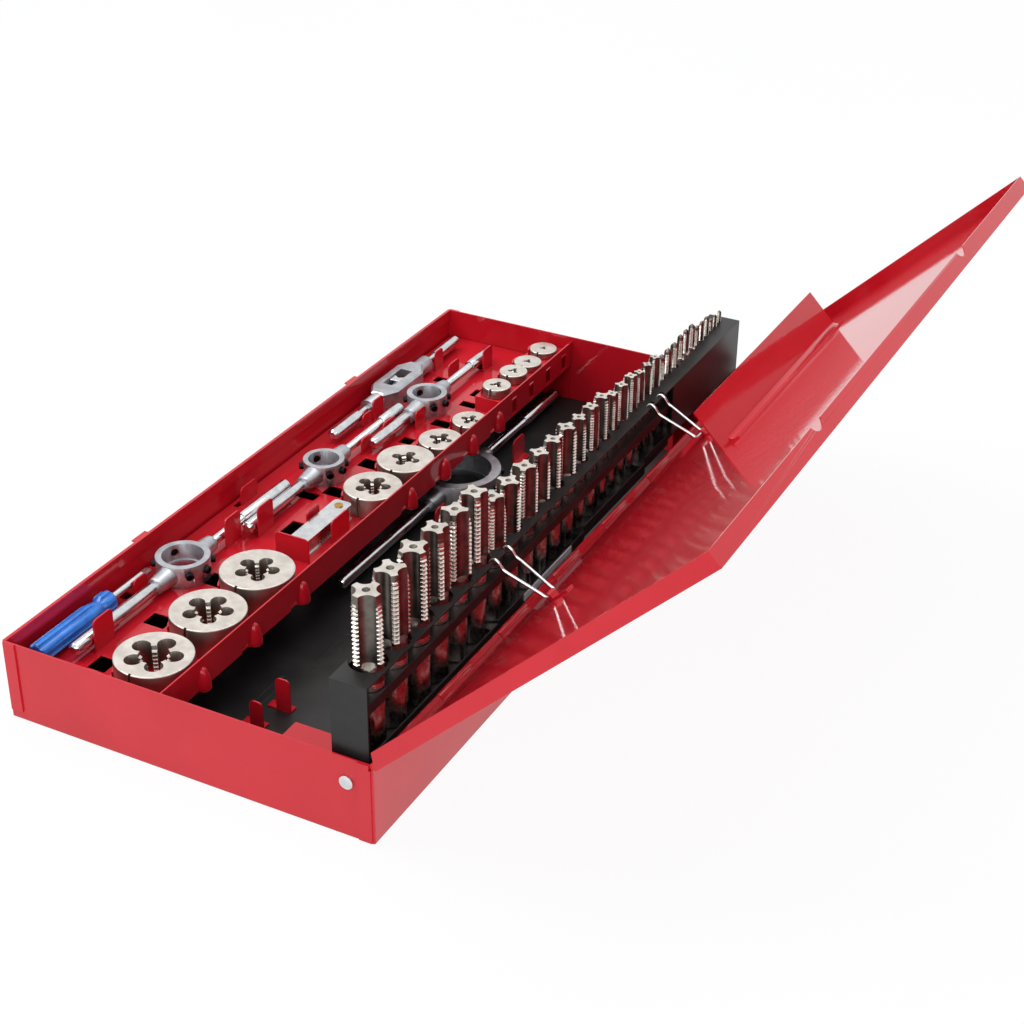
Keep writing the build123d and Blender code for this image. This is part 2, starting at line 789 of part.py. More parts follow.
def make_gauge_case():
    """Two steel cheeks, joined along one edge."""
    width, length = gauge_spans()
    x, y = gauge_rivet_centre()
    with BuildPart() as cheeks:
        block(width, length, (tray_top, tray_top + gauge_height))
        corners = cheeks.edges().filter_by(Axis.Z)
        fillet(corners, 3.0)
        block((width[0] + gauge_cheek, width[1] + 1), (length[0] - 1, length[1] + 1),
              (tray_top + gauge_cheek, tray_top + gauge_height - gauge_cheek), Mode.SUBTRACT)
        with Locations((x, y, tray_top + gauge_height / 2)):
            Cylinder(gauge_rivet_radius, gauge_height + 2, mode=Mode.SUBTRACT)
    return cheeks.part


def make_gauge_leaves():
    """Thread-form leaves that swing out on the rivet, stacked closed."""
    width, length = gauge_spans()
    x, y = gauge_rivet_centre()
    room = gauge_height - 2 * gauge_cheek
    pitch = room / gauge_leaves
    with BuildPart() as leaves:
        for i in range(gauge_leaves):
            z = tray_top + gauge_cheek + pitch * (i + 0.5)
            block((width[0] + 2 * gauge_cheek, width[1] - 1.0), (length[0] + 2, length[1] - 2),
                  (z - pitch / 2, z + gauge_leaf / 2))
        with Locations((x, y, tray_top + gauge_height / 2)):
            Cylinder(gauge_rivet_radius, gauge_height, mode=Mode.SUBTRACT)
    return leaves.part


def make_gauge_rivet():
    x, y = gauge_rivet_centre()
    with BuildPart() as rivet:
        with Locations((x, y, tray_top + gauge_height / 2)):
            Cylinder(gauge_rivet_radius, gauge_height)
        with Locations((x, y, tray_top + gauge_height + 0.3)):
            Cylinder(gauge_rivet_radius + 0.8, 0.6)
    return rivet.part


# ---- stand and taps -----------------------------------------------------------------------


def make_stand_frame():
    """End plates, back and drilled top of the stand, folded from one black sheet."""
    with BuildPart() as frame:
        for y in (stand_near, stand_far - sheet):
            block((stand_back, stand_front), (y, y + sheet), (pivot_height, stand_top))
            rod_along_y(pivot_x, pivot_height, (y, y + sheet), stand_width / 2)
        block((stand_back, stand_back + sheet), (stand_near, stand_far),
              (pivot_height + 4, stand_top))
        block((stand_back, stand_front), (stand_near, stand_far), (stand_top - sheet, stand_top))
        for size, row in tap_places():
            radius = max(size[1], size[4]) / 2 + tap_hole_gap
            for y in row:
                with Locations((tap_x, stand_near + y, stand_top)):
                    Cylinder(radius, 4 * sheet, mode=Mode.SUBTRACT)
        slot_x = (stand_front - hook_strip - hook_slot_length, stand_front - hook_strip)
        for middle in link_from_near:
            for side in (-1, 1):
                y = near + middle + side * link_hook_span / 2
                block(slot_x, (y - hook_slot_width / 2, y + hook_slot_width / 2),
                      (stand_top - 2 * sheet, stand_top + sheet), Mode.SUBTRACT)
        rod_along_y(pivot_x, pivot_height, (near, far), pivot_radius + running_gap,
                    Mode.SUBTRACT)
    return frame.part


def make_stand_middle_plate():
    """Second drilled plate, which keeps the tap shanks upright."""
    edge = stand_front - middle_setback
    ends = (stand_near + sheet, stand_far - sheet)
    with BuildPart() as plate:
        block((stand_back + sheet, edge), ends, (middle_plate_top - sheet, middle_plate_top))
        block((edge - sheet, edge), ends, (middle_plate_top - middle_lip, middle_plate_top))
        for size, row in tap_places():
            radius = size[4] / 2 + tap_hole_gap
            for y in row:
                with Locations((tap_x, stand_near + y, middle_plate_top)):
                    Cylinder(radius, 4 * sheet, mode=Mode.SUBTRACT)
    return plate.part


def base_steps():
    """Runs of taps that stand at one height, as (height, start, end) along Y."""
    steps = []
    places = tap_places()
    for i, (size, row) in enumerate(places):
        foot = size[6]
        start = stand_near + sheet if i == 0 else stand_near + (places[i - 1][1][-1] + row[0]) / 2
        last = i == len(places) - 1
        end = stand_far - sheet if last else stand_near + (row[-1] + places[i + 1][1][0]) / 2
        if steps and steps[-1][0] == foot:
            steps[-1] = (foot, steps[-1][1], end)
        else:
            steps.append((foot, start, end))
    return steps


def make_stand_base():
    """Stepped floor of the stand, so that short and long taps show alike."""
    x = (stand_back + sheet, stand_front - base_setback)
    with BuildPart() as base:
        steps = base_steps()
        for i, (foot, start, end) in enumerate(steps):
            block(x, (start, end), (foot - sheet, foot))
            block((x[1], x[1] + sheet), (start, end), (foot - sheet, foot + base_lip))
            if i:
                block(x, (start - sheet, start), (steps[i - 1][0] - sheet, foot))
    return base.part


def size_row(name):
    return next(row for size, row in tap_places() if size[0] == name)


def make_stand_front_cover():
    start = stand_near + size_row(cover_starts_at)[0] - tap_pitch(8.0) / 2
    with BuildPart() as cover:
        block((stand_front - sheet, stand_front), (start, stand_far - sheet),
              (cover_foot, stand_top - sheet))
    return cover.part


def make_size_strip():
    """Bare pale strip on the lip of the stand's base."""
    x = stand_front - base_setback + sheet
    foot = next(size[6] for size in taps if size[0] == strip_sizes[0])
    top = foot + base_lip
    start = stand_near + size_row(strip_sizes[0])[0] + size_strip_inset[0]
    end = stand_near + size_row(strip_sizes[1])[-1] - size_strip_inset[1]
    with BuildPart() as strip:
        block((x, x + size_strip_thickness), (start, end), (top - size_strip_height, top))
    return strip.part


def make_tap(size, y):
    """One hand tap, point up: square, shank, fluted thread and chamfered tip."""
    _, diameter, thread, length, shank, flutes, foot = size
    tip = foot + length
    chamfer_length = diameter * tip_chamfer_share * 2
    thread_start = tip - thread
    ease = min(1.0, shank * 0.15)
    tip_radius = diameter / 2 - diameter * tip_chamfer_share
    with BuildPart() as tap:
        with BuildSketch(Plane(origin=(tap_x, y, 0), x_dir=(1, 0, 0), z_dir=(0, -1, 0))):
            with BuildLine():
                Polyline(
                    (0, foot), (shank / 2 - ease, foot), (shank / 2, foot + ease),
                    (shank / 2, thread_start), (diameter / 2, thread_start + 0.5),
                    (diameter / 2, tip - chamfer_length), (tip_radius, tip), (0, tip),
                    close=True)
            make_face()
        revolve(axis=Axis((tap_x, y, 0), (0, 0, 1)))
        with BuildSketch(Plane.XY.offset(thread_start - diameter * 0.2)):
            with Locations((tap_x, y)):
                with PolarLocations(diameter * flute_centre_share, flutes, start_angle=45):
                    Circle(diameter * flute_radius_share)
        extrude(amount=thread + diameter, mode=Mode.SUBTRACT)
        flats = shank * square_share
        with BuildSketch(Plane.XY.offset(foot - 1)):
            with Locations((tap_x, y)):
                Circle(shank)
                Rectangle(flats, flats, mode=Mode.SUBTRACT)
        extrude(amount=flats + square_extra + 1, mode=Mode.SUBTRACT)
    return tap.part


def make_taps(size, row):
    with BuildPart() as group:
        for y in row:
            add(make_tap(size, stand_near + y))
    return group.part


# ---- lid ----------------------------------------------------------------------------------


def make_lid_shell():
    inner = (near - lid_side, far + lid_side)
    outer = (inner[0] - sheet, inner[1] + sheet)
    clear = barrel_radius + barrel_relief
    under = -barrel_radius
    with BuildPart(lid_plane) as lid:
        block((clear, lid_reach), outer, (under, lid_inside))
        block((lid_reach - sheet, lid_reach), outer, (under, flange_top))
        for side in ((outer[0], inner[0]), (inner[1], outer[1])):
            block((clear, lid_reach), side, (under, flange_top))
        for span in knuckle_spans(1, 2):
            block((0, clear), span, (under, lid_inside))
            rod_along_y(0, 0, span, barrel_radius)
        rod_along_y(0, 0, (near - 1, far + 1), hinge_pin_radius + running_gap, Mode.SUBTRACT)
        for y in latch_from_near:
            centre = flange_top + latch_notch_radius - latch_notch_depth
            with Locations((lid_reach - sheet / 2, near + y, centre)):
                Cylinder(latch_notch_radius, 3 * sheet, rotation=(0, 90, 0), mode=Mode.SUBTRACT)
    slope = Plane(origin=lid_plane.origin, x_dir=lid_plane.x_dir, z_dir=(0, -1, 0))
    with BuildPart() as trimmed:
        add(lid.part)
        with BuildSketch(slope.offset(-far - 10)):
            with BuildLine():
                Polyline((clear - 1, lid_inside + 0.3), (clear + 0.3, lid_inside + 0.3),
                         (clear + flange_setback, flange_top + 0.1),
                         (clear + flange_setback, flange_top + 5), (clear - 1, flange_top + 5),
                         close=True)
            make_face()
        extrude(amount=2 * far + 20, mode=Mode.SUBTRACT)
    return trimmed.part


def make_lid_flap():
    span = (near + flap_from_near, near + flap_from_near + flap_length)
    with BuildPart(lid_plane) as flap:
        block((flap_from_hinge, flap_from_hinge + sheet), span,
              (lid_inside, lid_inside + flap_height))
        block((flap_from_hinge, flap_from_hinge + flap_foot),
              (span[0] + flap_foot_setback, span[1]), (lid_inside, lid_inside + sheet))
        fold = lid_plane.from_local_coords(
            (flap_from_hinge + sheet, (span[0] + span[1]) / 2, lid_inside + sheet))
        fillet(flap.edges().filter_by(Axis.Y).sort_by_distance(fold)[0], flap_bend)
    return flap.part


def make_link_clips():
    """Folded clips, spot-welded inside the lid, that the wire links turn in."""
    bore = wire_radius + running_gap
    sleeve = bore + clip_wall
    with BuildPart(lid_plane) as clips:
        for middle in link_from_near:
            y = near + middle
            span = (y - clip_width / 2, y + clip_width / 2)
            rod_along_y(link_from_hinge, link_pivot_height, span, sleeve)
            block((link_from_hinge, link_from_hinge + clip_foot), span,
                  (lid_inside, lid_inside + clip_wall))
            block((link_from_hinge, link_from_hinge + sleeve), span,
                  (lid_inside, link_pivot_height))
            rod_along_y(link_from_hinge, link_pivot_height, span, bore, Mode.SUBTRACT)
    return clips.part


def make_wire_link(middle):
    """A hairpin of wire: its bend turns in the lid's clip, its two hooks hold the stand."""
    pivot_x_, pivot_z = link_pivot
    hook_x, hook_z = hook_centre
    wires = []
    for side in (-1, 1):
        y = near + middle + side * link_hook_span / 2
        y_clip = near + middle + side * link_clip_span / 2
        wires.append([
            (pivot_x_, y_clip, pivot_z),
            *((hook_x + along, y, hook_z + up) for along, up in hook_bends),
        ])
    wires.append([wires[0][0], wires[1][0]])
    with BuildPart() as link:
        for points in wires:
            for a, b in zip(points, points[1:]):
                start, end = Vector(*a), Vector(*b)
                with BuildSketch(Plane(origin=start, z_dir=(end - start).normalized())):
                    Circle(wire_radius)
                extrude(amount=(end - start).length)
            for point in points[:-1]:
                with Locations(point):
                    Sphere(wire_radius)
    return link.part


# ---- build --------------------------------------------------------------------------------


def main():
    save(make_case_shell(), "case_shell")
    save(make_floor_sheet(), "floor_sheet")
    save(make_hinge_pin(), "hinge_pin")
    save(make_front_catches(), "front_catches")
    save(make_pivot_rivets(), "pivot_rivets")
    save(make_pivot_washers(), "pivot_washers")
    save(make_stand_rests(), "stand_rests")
    save(make_floor_clips(), "floor_clips")
    save(make_insert_tray(), "insert_tray")
    save(make_tray_uprights(), "tray_uprights")
    for die, y in die_places():
        save(make_die(die, y), f"die_{die[0]}")
    for stock in stocks:
        save(make_stock_ring(stock), f"stock_ring_{stock[0]}")
        save(make_stock_handles(stock), f"stock_handles_{stock[0]}")
    save(make_set_screws(), "stock_set_screws")
    save(make_wrench_body(), "wrench_body")
    save(make_wrench_screw(), "wrench_screw_handle")
    save(make_wrench_handle(), "wrench_fixed_handle")
    save(make_wrench_jaw(), "wrench_jaw")
    save(make_driver_handle(), "screwdriver_handle")
    save(make_driver_blade(), "screwdriver_blade")
    save(make_gauge_case(), "pitch_gauge_case")
    save(make_gauge_leaves(), "pitch_gauge_leaves")
    save(make_gauge_rivet(), "pitch_gauge_rivet")
    save(make_stand_frame(), "stand_frame")
    save(make_stand_middle_plate(), "stand_middle_plate")
    save(make_stand_base(), "stand_base")
    save(make_stand_front_cover(), "stand_front_cover")
    save(make_size_strip(), "size_strip")
    for size, row in tap_places():
        save(make_taps(size, row), f"taps_{size[0]}")
    save(make_lid_shell(), "lid_shell")
    save(make_lid_flap(), "lid_flap")
    save(make_link_clips(), "link_clips")
    for name, middle in zip(("near", "far"), link_from_near):
        save(make_wire_link(middle), f"wire_link_{name}")


main()
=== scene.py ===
"""Looks of the tap and die case: finishes, threads, wire links, screws, light and camera.

Lengths in the tables are millimetres and are turned to metres once, by MM.
"""
from math import acos, asin, cos, hypot, pi, radians, sin

import bpy
import numpy as np
from mathutils import Matrix, Vector


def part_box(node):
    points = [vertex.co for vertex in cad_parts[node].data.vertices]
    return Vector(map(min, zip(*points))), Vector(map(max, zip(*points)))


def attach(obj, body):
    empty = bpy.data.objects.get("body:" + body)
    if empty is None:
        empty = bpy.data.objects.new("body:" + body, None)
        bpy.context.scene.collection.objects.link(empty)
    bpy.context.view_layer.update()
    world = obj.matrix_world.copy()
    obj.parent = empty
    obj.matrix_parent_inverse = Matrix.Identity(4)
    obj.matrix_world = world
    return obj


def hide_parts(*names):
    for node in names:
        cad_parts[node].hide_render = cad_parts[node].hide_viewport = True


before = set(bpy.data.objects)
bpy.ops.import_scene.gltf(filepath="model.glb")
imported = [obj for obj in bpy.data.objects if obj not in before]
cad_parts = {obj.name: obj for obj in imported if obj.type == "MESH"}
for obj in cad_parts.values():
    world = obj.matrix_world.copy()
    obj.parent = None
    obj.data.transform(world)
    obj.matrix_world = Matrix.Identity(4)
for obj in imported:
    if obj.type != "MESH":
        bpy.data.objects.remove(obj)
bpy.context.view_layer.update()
MM = 0.001
# Places of the Mix node's two colours and its result, whose names its number sockets share.
MIX_FIRST, MIX_SECOND, MIX_RESULT = 6, 7, 2


# ---- nodes and colours --------------------------------------------------------------------


def linear(code):
    """A colour written as sRGB hex, as the linear values that a shader takes."""
    parts = [int(code[i:i + 2], 16) / 255 for i in (1, 3, 5)]
    return [p / 12.92 if p <= 0.04045 else ((p + 0.055) / 1.055) ** 2.4 for p in parts] + [1.0]


def put(tree, kind, settings=None, inputs=None):
    """Adds a node.  An input is a plain value, or the socket that it is linked from."""
    made = tree.nodes.new(kind)
    for name, value in (settings or {}).items():
        setattr(made, name, value)
    for name, value in (inputs or {}).items():
        socket = made.inputs[name]
        if isinstance(value, bpy.types.NodeSocket):
            tree.links.new(value, socket)
        else:
            socket.default_value = value
    return made


def per_mm(length):
    """Texture scale whose features are about this many millimetres across."""
    return 1.0 / (length * MM)


def new_material(name, lit=True):
    """A material with its Principled shader, and the place of each point in metres.
    One that isn't lit has its output still to come."""
    material = bpy.data.materials.new(name)
    material.use_nodes = True
    tree = material.node_tree
    tree.nodes.clear()
    shader = put(tree, "ShaderNodeBsdfPrincipled")
    if lit:
        put(tree, "ShaderNodeOutputMaterial", None, {"Surface": shader.outputs["BSDF"]})
    place = put(tree, "ShaderNodeTexCoord").outputs["Object"]
    return material, tree, shader, place


def ramp_between(tree, value, low, high, dark, light):
    """Turns a texture's value from low to high into a smooth blend of two colours."""
    blend = put(tree, "ShaderNodeMapRange", {"interpolation_type": "SMOOTHSTEP"},
                {"Value": value, "From Min": low, "From Max": high})
    mixed = put(tree, "ShaderNodeMix", {"data_type": "RGBA"},
                {"Factor": blend.outputs["Result"], MIX_FIRST: linear(dark),
                 MIX_SECOND: linear(light)})
    return mixed.outputs[MIX_RESULT]


def powder_coat():
    """Powder-coated mild steel: a thick glossy red skin with the soft dimples of orange peel."""
    material, tree, shader, place = new_material("powder_coated_steel_red")
    cloud = put(tree, "ShaderNodeTexNoise", None,
                {"Vector": place, "Scale": per_mm(60), "Detail": 3.0})
    tint = ramp_between(tree, cloud.outputs["Fac"], 0.3, 0.7, "#bb1121", "#c31626")
    tree.links.new(tint, shader.inputs["Base Color"])
    haze = put(tree, "ShaderNodeTexNoise", None,
               {"Vector": place, "Scale": per_mm(25), "Detail": 5.0, "Roughness": 0.6})
    rough = put(tree, "ShaderNodeMapRange", None,
                {"Value": haze.outputs["Fac"], "To Min": 0.42, "To Max": 0.55})
    tree.links.new(rough.outputs["Result"], shader.inputs["Roughness"])
    peel = put(tree, "ShaderNodeTexNoise", None,
               {"Vector": place, "Scale": per_mm(3.2), "Detail": 2.0, "Roughness": 0.45})
    bump = put(tree, "ShaderNodeBump", None,
               {"Height": peel.outputs["Fac"], "Strength": 0.3, "Distance": 0.0001})
    tree.links.new(bump.outputs["Normal"], shader.inputs["Normal"])
    tree.links.new(bump.outputs["Normal"], shader.inputs["Coat Normal"])
    shader.inputs["IOR"].default_value = 1.5
    shader.inputs["Specular IOR Level"].default_value = 0.1
    shader.inputs["Coat Weight"].default_value = 1.0
    shader.inputs["Coat IOR"].default_value = 1.38
    shader.inputs["Coat Roughness"].default_value = 0.05
    return material


def black_enamel():
    """Stoved black enamel on sheet steel: satin, with faint handling marks in its gloss."""
    material, tree, shader, place = new_material("stoved_enamel_black")
    cloud = put(tree, "ShaderNodeTexNoise", None,
                {"Vector": place, "Scale": per_mm(40), "Detail": 6.0, "Roughness": 0.65})
    tint = ramp_between(tree, cloud.outputs["Fac"], 0.35, 0.75, "#1a1919", "#292727")
    tree.links.new(tint, shader.inputs["Base Color"])
    rough = put(tree, "ShaderNodeMapRange", None,
                {"Value": cloud.outputs["Fac"], "To Min": 0.3, "To Max": 0.5})
    tree.links.new(rough.outputs["Result"], shader.inputs["Roughness"])
    grain = put(tree, "ShaderNodeTexNoise", None,
                {"Vector": place, "Scale": per_mm(0.9), "Detail": 2.0})
    bump = put(tree, "ShaderNodeBump", None,
               {"Height": grain.outputs["Fac"], "Strength": 0.15, "Distance": 0.00004})
    tree.links.new(bump.outputs["Normal"], shader.inputs["Normal"])
    shader.inputs["IOR"].default_value = 1.5
    shader.inputs["Specular IOR Level"].default_value = 0.35
    return material


def metal(name, dark, light, smooth, rough, lay, grain, relief, shaded_sides=None):
    """A bare metal.  lay stretches its grain along an axis, as the tool that cut it did;
    grain is the width of the marks in millimetres, and relief their depth in metres.
    The colour for the sides goes on the faces that don't look up: painted shade on the sides and in
    the chip holes, which are also duller because only the top was ground."""
    material, tree, shader, place = new_material(name)
    shader.inputs["Metallic"].default_value = 1.0
    turned = put(tree, "ShaderNodeMapping", None, {"Vector": place, "Scale": lay})
    marks = put(tree, "ShaderNodeTexNoise", None,
                {"Vector": turned.outputs["Vector"], "Scale": per_mm(grain), "Detail": 4.0})
    cloud = put(tree, "ShaderNodeTexNoise", None,
                {"Vector": place, "Scale": per_mm(7), "Detail": 5.0, "Roughness": 0.6})
    tint = ramp_between(tree, cloud.outputs["Fac"], 0.3, 0.7, dark, light)
    # Faces that don't look up get the darker sides colour: painted shade in the chip holes and on
    # the sides.
    if shaded_sides:
        facing = put(tree, "ShaderNodeSeparateXYZ", None,
                     {"Vector": put(tree, "ShaderNodeTexCoord").outputs["Normal"]})
        upward = put(tree, "ShaderNodeMapRange", {"interpolation_type": "SMOOTHSTEP"},
                     {"Value": facing.outputs["Z"], "From Min": 0.5, "From Max": 0.95})
        split = put(tree, "ShaderNodeMix", {"data_type": "RGBA"},
                    {"Factor": upward.outputs["Result"], MIX_FIRST: linear(shaded_sides),
                     MIX_SECOND: tint})
        tint = split.outputs[MIX_RESULT]
    tree.links.new(tint, shader.inputs["Base Color"])
    both = put(tree, "ShaderNodeMath", {"operation": "MULTIPLY"},
               {0: cloud.outputs["Fac"], 1: marks.outputs["Fac"]})
    level = put(tree, "ShaderNodeMapRange", None,
                {"Value": both.outputs["Value"], "From Min": 0.1, "From Max": 0.45,
                 "To Min": smooth, "To Max": rough})
    tree.links.new(level.outputs["Result"], shader.inputs["Roughness"])
    bump = put(tree, "ShaderNodeBump", None,
               {"Height": marks.outputs["Fac"], "Strength": 0.25, "Distance": relief})
    tree.links.new(bump.outputs["Normal"], shader.inputs["Normal"])
    return material


def moulded_plastic():
    """Injection-moulded cellulose acetate: clear-skinned blue with a little depth."""
    material, tree, shader, place = new_material("moulded_acetate_blue")
    cloud = put(tree, "ShaderNodeTexNoise", None,
                {"Vector": place, "Scale": per_mm(9), "Detail": 3.0})
    tint = ramp_between(tree, cloud.outputs["Fac"], 0.3, 0.7, "#0f66c2", "#1c7cd8")
    tree.links.new(tint, shader.inputs["Base Color"])
    rough = put(tree, "ShaderNodeMapRange", None,
                {"Value": cloud.outputs["Fac"], "To Min": 0.2, "To Max": 0.32})
    tree.links.new(rough.outputs["Result"], shader.inputs["Roughness"])
    shader.inputs["IOR"].default_value = 1.48
    shader.inputs["Subsurface Weight"].default_value = 0.12
    shader.inputs["Subsurface Scale"].default_value = 0.003
    shader.inputs["Coat Weight"].default_value = 0.4
    return material


def card_strip():
    """Coated card: matt pale grey with a faint fibre fleck."""
    material, tree, shader, place = new_material("coated_card_grey")
    fleck = put(tree, "ShaderNodeTexNoise", None,
                {"Vector": place, "Scale": per_mm(1.2), "Detail": 4.0})
    tint = ramp_between(tree, fleck.outputs["Fac"], 0.3, 0.7, "#bfc3c8", "#d3d6da")
    tree.links.new(tint, shader.inputs["Base Color"])
    shader.inputs["Roughness"].default_value = 0.55
    return material


RED = powder_coat()
BLACK = black_enamel()
# Ground high-speed steel: warm grey, satin, with fine lines from the wheel.
TOOL_STEEL = metal("ground_tool_steel", "#c9c2b9", "#e0dad2", 0.2, 0.36, (1, 1, 6), 0.5, 0.00002)
# The same steel on the dies, ground flat on top: the lines run along the case. Their sides and chip
# holes get a darker colour: painted shade, and partly unground steel.
DIE_STEEL = metal("die_steel_ground_top_shaded_sides", "#cbc3ba", "#dfd8d0", 0.3, 0.46, (5, 1, 1), 0.5, 0.00002,
                  shaded_sides="#a39c95")
# Painted shade and dark reflection in the flutes and thread roots of the taps: darker and duller
# steel.
FLUTE_SHADE_STEEL = metal("tool_steel_painted_shade", "#5d5853", "#77716b", 0.28, 0.46, (1, 1, 3), 0.5,
                   0.00002)
# Bright turned bar: rings of the lathe tool round it, polished by the hand.
BAR_STEEL = metal("turned_bright_bar", "#c6c8cb", "#dcdee0", 0.14, 0.28, (0.3, 2.5, 0.3), 0.8,
                  0.000012)
# Die-cast zinc: cool grey with the soft grain of the mould.
CAST_ZINC = metal("die_cast_zinc", "#a9acb1", "#bfc1c5", 0.34, 0.52, (1, 1, 1), 0.9, 0.00005)
# Black-oxide screws: nearly black, oily sheen.
BLACK_OXIDE = metal("black_oxide_steel", "#1b1b1d", "#2c2c2f", 0.3, 0.5, (1, 1, 1), 0.6, 0.00004)
# Zinc-plated spring wire: bright, drawn along its length.
PLATED_WIRE = metal("zinc_plated_wire", "#cfd1d3", "#e6e7e8", 0.14, 0.28, (1, 1, 1), 0.8, 0.00001)
# Plain brass rivet, slightly dulled.
BRASS = metal("plain_brass", "#a67c38", "#c49a52", 0.25, 0.42, (1, 1, 1), 0.7, 0.00004)
BLUE = moulded_plastic()
CARD = card_strip()

finish_of = {
    "case_shell": RED, "insert_tray": RED, "lid_shell": RED, "lid_flap": RED,
    "tray_uprights": RED, "link_clips": RED, "front_catches": RED, "floor_clips": RED,
    "stand_rests": RED, "hinge_pin": RED,
    "floor_sheet": BLACK, "stand_frame": BLACK, "stand_middle_plate": BLACK,
    "stand_base": BLACK, "stand_front_cover": BLACK, "size_strip": CARD,
    "pivot_rivets": PLATED_WIRE, "pivot_washers": PLATED_WIRE,
    "wrench_body": CAST_ZINC, "wrench_jaw": BAR_STEEL, "wrench_screw_handle": BAR_STEEL,
    "wrench_fixed_handle": BAR_STEEL, "screwdriver_handle": BLUE,
    "screwdriver_blade": BAR_STEEL, "pitch_gauge_case": BAR_STEEL,
    "pitch_gauge_leaves": TOOL_STEEL, "pitch_gauge_rivet": BRASS,
    "stock_set_screws": BLACK_OXIDE,
}
# Radius of the softened edges on each node, in millimetres.
soft_edge = {
    "case_shell": 0.25, "insert_tray": 0.25, "tray_uprights": 0.25, "lid_shell": 0.3,
    "lid_flap": 0.25, "link_clips": 0.2, "front_catches": 0.25, "floor_clips": 0.25,
    "stand_rests": 0.3,
    "stand_frame": 0.25, "stand_middle_plate": 0.2, "stand_base": 0.2,
    "stand_front_cover": 0.2, "pivot_rivets": 0.5, "wrench_body": 0.6, "wrench_jaw": 0.3,
    "pitch_gauge_case": 0.15, "screwdriver_handle": 0.3,
}
# Finish and softened edges of the nodes that come in sets, by the start of their names.
set_finish = {
    "die_": (DIE_STEEL, 0.15), "stock_ring": (CAST_ZINC, 0.7),
    "stock_handles": (BAR_STEEL, 0.25), "taps_": (TOOL_STEEL, 0), "wire_link": (PLATED_WIRE, 0),
}
# Points nearer than this in millimetres are joined, and edges sharper than this in degrees
# are softened.
join_within, fold_angle = 0.01, 40


def dress_nodes():
    """Gives every CAD node its finish, and softens its edges where the real one is folded."""
    for name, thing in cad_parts.items():
        in_set = [pair for start, pair in set_finish.items() if name.startswith(start)]
        finish, edge = in_set[0] if in_set else (finish_of[name], soft_edge.get(name, 0))
        thing.data.materials.clear()
        thing.data.materials.append(finish)
        if edge:
            weld = thing.modifiers.new("joined", "WELD")
            weld.merge_threshold = join_within * MM
            round_off = thing.modifiers.new("softened", "BEVEL")
            round_off.width = edge * MM
            round_off.segments = 2
            round_off.limit_method = "ANGLE"
            round_off.angle_limit = radians(fold_angle)
            round_off.use_clamp_overlap = True
            round_off.harden_normals = True


# ---- mesh helpers -------------------------------------------------------------------------


def new_piece(name, solid, finishes, body, crease=35):
    """A smooth-shaded piece that rides on a body, sharp at edges above crease degrees."""
    mesh = bpy.data.meshes.new(name)
    mesh.from_pydata([tuple(v) for v in solid.verts], [], solid.faces)
    mesh.validate()
    mesh.polygons.foreach_set("use_smooth", [True] * len(mesh.polygons))
    mesh.set_sharp_from_angle(angle=radians(crease))
    thing = bpy.data.objects.new(name, mesh)
    bpy.context.scene.collection.objects.link(thing)
    for material in finishes:
        mesh.materials.append(material)
    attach(thing, body)
    return thing


class Solid:
    """Gathers rings of points into one mesh."""

    def __init__(self):
        self.verts, self.faces = [], []

    def rings(self, rows):
        """Skins a stack of rings that have as many points each, and closes both its ends."""
        count = len(rows[0])
        start = len(self.verts)
        for row in rows:
            self.verts.extend(row)
        for i in range(len(rows) - 1):
            low, high = start + i * count, start + (i + 1) * count
            for j in range(count):
                k = (j + 1) % count
                self.faces.append((low + j, low + k, high + k, high + j))
        for row, flip in ((0, True), (len(rows) - 1, False)):
            first = start + row * count
            middle = len(self.verts)
            self.verts.append(tuple(np.mean(self.verts[first:first + count], axis=0)))
            for j in range(count):
                a, b = first + j, first + (j + 1) % count
                self.faces.append((b, a, middle) if flip else (a, b, middle))


# ---- taps ---------------------------------------------------------------------------------

# The same sizes as the stand's: diameter, thread pitch, thread length, length, shank, flutes
tap_sizes = {
    "m20": (20.0, 2.5, 40.0, 95.0, 16.0, 4), "m18": (18.0, 2.5, 40.0, 95.0, 14.0, 4),
    "m16": (16.0, 2.0, 32.0, 80.0, 12.0, 4), "m14": (14.0, 2.0, 30.0, 80.0, 11.0, 4),
    "m12": (12.0, 1.75, 28.0, 75.0, 9.0, 4), "m10": (10.0, 1.5, 24.0, 70.0, 7.0, 4),
    "m8": (8.0, 1.25, 22.0, 63.0, 6.0, 4), "m6": (6.0, 1.0, 19.0, 56.0, 6.0, 3),
    "m5": (5.0, 0.8, 16.0, 50.0, 6.0, 3), "m4": (4.0, 0.7, 14.0, 45.0, 4.5, 3),
    "m3": (3.0, 0.5, 11.0, 40.0, 3.5, 3),
}
# Threads that the chamfered lead takes away on the taper, second and bottoming tap.
lead_threads = (6.0, 4.0, 2.2)
# How each of the three stands turned in its hole, in radians.
tap_turns = (0.3, -0.25, 0.12)
square_share, square_extra = 0.75, 3.0   # width across flats of the shank; spare length, mm
thread_depth = 0.61                      # of the pitch
flute_away, flute_radius = 0.52, 0.27    # of the diameter: the cutter's middle and radius
run_out, run_out_slope = 0.6, 0.9        # of the diameter; rise of the flute into the shank
tip_loss, tip_least = 1.15, 0.72         # depths off the lead's tip; least share of the radius
pointed_below, point_share = 7.0, 0.7    # diameter, mm; the point's length of the radius
centre_hole = 0.11                       # of the diameter
square_blend = 1.2                       # length over which the square turns round, mm


def tap_angles(flutes, edge):
    """Angles round a tap, closer together at the edges of its flutes."""
    angles = set()
    for i in range(flutes):
        middle = 2 * pi * i / flutes
        for share in (0, 0.3, 0.55, 0.75, 0.9, 0.98, 1.02):
            angles.update(round((middle + s * share * edge) % (2 * pi), 5) for s in (-1, 1))
        land = 2 * pi / flutes - 2.04 * edge
        steps = 5 if flutes == 4 else 8
        for k in range(1, steps):
            angles.add(round((middle + 1.02 * edge + land * k / steps) % (2 * pi), 5))
    return np.array(sorted(angles))


